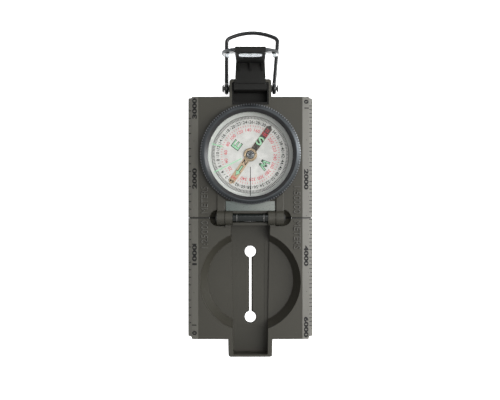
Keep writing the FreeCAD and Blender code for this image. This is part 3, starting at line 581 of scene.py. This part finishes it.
mil_marks = Marks(on_card, 0.02)
mil_turn = 5.625
mil_reach = 17.4
mil_high = 1.7
mil_bold = 0.015
for hundred in range(1, 65):
    bearing = north + hundred * mil_turn
    if hundred % 2:
        mil_marks.bar(dial_point(bearing, 16.7), dial_point(bearing, 17.9), 0.20)
    elif 4 <= hundred <= 62 and hundred != 32:
        mil_marks.words(str(hundred), dial_point(bearing, mil_reach), -bearing, mil_high, None, mil_bold)
two = north + 2 * mil_turn
mil_marks.words("2", dial_point(two, mil_reach), -two, mil_high, None, mil_bold)
for tick in range(160):
    bearing = north + tick * 2.25
    mil_marks.bar(dial_point(bearing, 18.95), dial_point(bearing, 20.1), 0.26)
mil_marks.piece("card_mils", black_ink, "card")

red_ink = ink("red_ink", (0.50, 0.045, 0.065), 0.5)
degree_marks = Marks(on_card, 0.02)
for tick in range(72):
    bearing = north + 5 * tick
    if min(tick % 36, 36 - tick % 36) > 1:
        degree_marks.bar(dial_point(bearing, 14.85), dial_point(bearing, 15.75), 0.22)
for degree in range(20, 360, 20):
    if degree != 180:
        bearing = north + degree
        degree_marks.words(str(degree), dial_point(bearing, 13.2), -bearing, 1.75, None, 0.005)
degree_marks.piece("card_degrees", red_ink, "card")


def glow(name):
    """Luminous paint: pale green, thick and slightly grainy."""
    finish = Finish(name)
    place = finish.place()
    grain = finish.noise(place, 2.2, 3.0, 0.7)
    colour = grain.mixed((0.19, 0.40, 0.24), (0.29, 0.55, 0.35))
    finish.set(Base_Color=colour, Roughness=0.6, Normal=finish.bump(grain, 0.02))
    return finish


green_paint = glow("luminous_paint")
letter_reach = 8.9
letter_edge = Marks(on_card, 0.02)
letter_fill = Marks(on_card, 0.045)
east = north + 90
letter_edge.words("E", dial_point(east, letter_reach), -east, 4.8, 4.6, 0.041)
letter_fill.words("E", dial_point(east, letter_reach), -east, 4.1, 3.9, 0.015)
west_strokes = (((-2.1, 1.7), (-1.1, -1.7)), ((-1.1, -1.7), (0, 1.2)),
                ((0, 1.2), (1.1, -1.7)), ((1.1, -1.7), (2.1, 1.7)))
middle_x, middle_y = dial_point(north + 270, letter_reach)
out_x, out_y = dial_point(north + 270, 1.0)
for (x0, y0), (x1, y1) in west_strokes:
    long = math.dist((x0, y0), (x1, y1))
    for marks, wide in ((letter_edge, 1.2), (letter_fill, 0.72)):
        more_x, more_y = (x1 - x0) / long * wide / 2, (y1 - y0) / long * wide / 2
        near, far = ((middle_x + x * out_y + y * out_x, middle_y - x * out_x + y * out_y)
                     for x, y in ((x0 - more_x, y0 - more_y), (x1 + more_x, y1 + more_y)))
        marks.bar(near, far, wide)
letter_edge.piece("card_letter_edges", black_ink, "card")
letter_fill.piece("card_letters", green_paint, "card")


# The needle and its hub.  One lacquered copper strip lies across the card; its south half is
# painted black.  Both halves are lettered, and the north half carries a luminous arrow.
# A brass ring and a steel-grey jewelled cup close the middle over the magnets.

needle_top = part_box("needle")[1].z * 1000
needle_paint = Finish("needle_paint")
needle_place = needle_paint.place()
north_x, north_y = dial_point(north, 1.0)
needle_x = needle_paint.axis(needle_place, "X")
needle_y = needle_paint.axis(needle_place, "Y")
needle_along = needle_x * north_x + needle_y * north_y
needle_across = (needle_x * north_y - needle_y * north_x).size()
needle_rub = needle_paint.noise(needle_place, 0.9, 4.0, 0.6)
needle_edge = needle_across.above(1.45, 0.12) * 0.6
copper = needle_rub.mixed((0.30, 0.215, 0.135), (0.46, 0.345, 0.225))
needle_black = needle_rub.mixed((0.010, 0.009, 0.008), (0.035, 0.026, 0.020))
needle_black = needle_edge.mixed(needle_black, (0.16, 0.085, 0.04))
needle_paint.set(Base_Color=needle_along.above(-3.2, 0.1).mixed(needle_black, copper), Metallic=0.15,
                 Roughness=0.36 + needle_rub * 0.12, Normal=needle_paint.bump(needle_rub, 0.01))
paint("needle", needle_paint)


def on_needle(x, y):
    return needle_top


needle_black_marks = Marks(on_needle, 0.02)
needle_black_marks.words("N", dial_point(north, 5.0), -north, 2.5, 2.3, 0.02)
needle_black_marks.words("64", dial_point(north, 17.2), -north, mil_high, None, mil_bold)
arrow_shapes = []
for grow in (0.28, 0.0):
    tip, neck, tail = 13.3 + grow * 1.4, 11.0 - grow, 7.3 - grow
    wing, shaft = 1.35 + grow * 0.9, 0.36 + grow
    outline = [(tip, 0), (neck, -wing), (neck, -shaft), (tail, -shaft),
               (tail, shaft), (neck, shaft), (neck, wing)]
    arrow_shapes.append([(along * north_x + side * north_y, along * north_y - side * north_x)
                         for along, side in outline])
needle_black_marks.prism(arrow_shapes[0])
needle_black_marks.piece("needle_black_marks", black_ink, "card")
needle_glow = Marks(on_needle, 0.05)
needle_glow.prism(arrow_shapes[1])
needle_glow.words("S", dial_point(north + 180, letter_reach), -north - 180, 4.6, 3.3, 0.02)
needle_glow.piece("needle_luminous_marks", green_paint, "card")
needle_red = Marks(on_needle, 0.02)
needle_red.words("180", dial_point(north + 180, 13.2), -north - 180, 1.9, 3.0, 0.012)
needle_red.words("32", dial_point(north + 180, 15.6), -north - 180, 1.7, 1.9, 0.012)
needle_red.words("360", dial_point(north, 15.1), -north, 1.6, 3.0, 0.01)
needle_red.piece("needle_red_marks", red_ink, "card")

hub_brass = Finish("hub_brass")
hub_place = hub_brass.place()
hub_reach = hub_brass.reach(hub_place)
hub_turning = (hub_reach * 40).wave() * 0.5 + 0.5
hub_brass.set(Base_Color=hub_turning.mixed((0.17, 0.13, 0.08), (0.27, 0.21, 0.14)), Metallic=0.85,
              Roughness=0.34, Normal=hub_brass.bump(hub_turning, 0.01))
paint("hub_ring", hub_brass)
jewel_grey = Finish("jewel_grey")
jewel_place = jewel_grey.place()
jewel_reach = jewel_grey.reach(jewel_place)
jewel_rings = (jewel_reach * 9).wave() * 0.5 + 0.5
jewel_eye = 1 - jewel_reach.above(0.75, 0.1)
jewel_colour = jewel_rings.mixed((0.03, 0.032, 0.034), (0.18, 0.19, 0.19))
jewel_grey.set(Base_Color=jewel_eye.mixed(jewel_colour, (0.012, 0.012, 0.013)), Metallic=0.5, Roughness=0.28,
               Normal=jewel_grey.bump(jewel_rings, 0.05))
paint("jewel_cup", jewel_grey)
paint("card_magnets", bright)


# The bezel.  A turned and milled ring, anodised slate grey, with its funnel blacked, snapped
# over the clamp with a spring ring under its own crystal.  Two luminous setting lines are
# filled into grooves on top of that crystal and turn with it.

bezel_mouth = 24.0
bezel_teeth = 120
bezel_paint = Finish("bezel_grey")
bezel_place = bezel_paint.place()
bezel_from = bezel_paint.reach(bezel_place)
bezel_turning = bezel_paint.noise(bezel_paint.node("CombineXYZ", {}, {
    0: bezel_from * 6, 1: bezel_paint.axis(bezel_place, "Z") * 6}), 1.0, 3.0, 0.6)
bezel_cloud = bezel_paint.noise(bezel_place, 0.25, 3.0)
bezel_slate = (bezel_turning * 0.5 + bezel_cloud * 0.5).mixed((0.026, 0.029, 0.032), (0.052, 0.058, 0.063))
bezel_outside = bezel_from.above(bezel_mouth - 0.05, 0.05)
bezel_notch = (bezel_paint.turn(bezel_place) * bezel_teeth + math.pi / 2).wave().above(0.1, 0.35)
bezel_tip = bezel_from.above(bezel_reach - 0.65, 0.1) * (bezel_cloud * 0.8 + 0.2)
bezel_slate = (bezel_tip * 0.6).mixed(bezel_slate, (0.22, 0.23, 0.24))
# Painted shade: the notches between the teeth are blacked where shade falls in them.
bezel_notch_shade = bezel_notch * bezel_from.above(bezel_reach - 0.9, 0.15)
bezel_slate = (bezel_notch_shade * 0.95).mixed(bezel_slate, (0.003, 0.003, 0.003))
bezel_paint.set(Base_Color=bezel_outside.mixed((0.008, 0.008, 0.009), bezel_slate),
                Metallic=bezel_outside * 0.75, Roughness=0.30 + bezel_turning * 0.16,
                Normal=bezel_paint.bump(bezel_turning, 0.012))
paint("bezel", bezel_paint)
paint("bezel_snap_ring", metal("snap_ring", (0.30, 0.25, 0.15), 0.3, 1.0))

glass_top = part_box("bezel_crystal")[1].z * 1000
setting_lines = Marks(lambda x, y: glass_top, 0.05)
for bearing, near, far in ((285.0, 15.0, 20.9), (243.4, 5.2, 21.4)):
    setting_lines.bar(dial_point(bearing, near), dial_point(bearing, far), 0.50)
setting_lines.piece("setting_lines", green_paint, "bezel")


# The loupe.  A black glass-filled nylon arm turns on the tab's axle in a black cradle and
# carries a moulded frame; the lens is bonded to the back of the frame under its lip.

black_moulding = plastic("black_moulding", (0.008, 0.008, 0.0075), 0.5, 0.02, 4.0)
black_moulding.set(Specular_IOR_Level=0.14)
for name in ("loupe_arm", "lens_frame", "loupe_cradle"):
    paint(name, black_moulding)
paint("tab_axle", blackened)
paint("loop_spacers", blackened)
lens = Finish("lens_glass")
lens_place = lens.place()
lens_low, lens_high = (corner * 1000 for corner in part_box("loupe_lens"))
lens_middle = (lens_low + lens_high) / 2
lens_dust = lens.noise(lens_place, 1.5, 3.0)
lens_reach = lens.node("VectorMath", {"operation": "LENGTH"}, {
    0: (lens_place + (0, 0, -lens_middle.z)) * (1, 0, 1)}, "Value")
lens_ground = lens_reach.above(lens_high.x - 0.25, 0.12)
lens.set(Base_Color=lens_ground.mixed((0.60, 0.63, 0.65), (0.05, 0.055, 0.06)),
         Roughness=lens_ground * 0.55 + lens_dust * 0.06, Transmission_Weight=1.0, IOR=1.3)
paint("loupe_lens", lens)


# The thumb loop.  One bent steel wire, black enamelled, with an eye at each end sprung over
# the axle outside the spacers.

wire_enamel = metal("black_wire", (0.006, 0.007, 0.008), 0.24, 0.0, 0.006)
wire_enamel.set(Specular_IOR_Level=0.35)
paint("thumb_loop", wire_enamel)
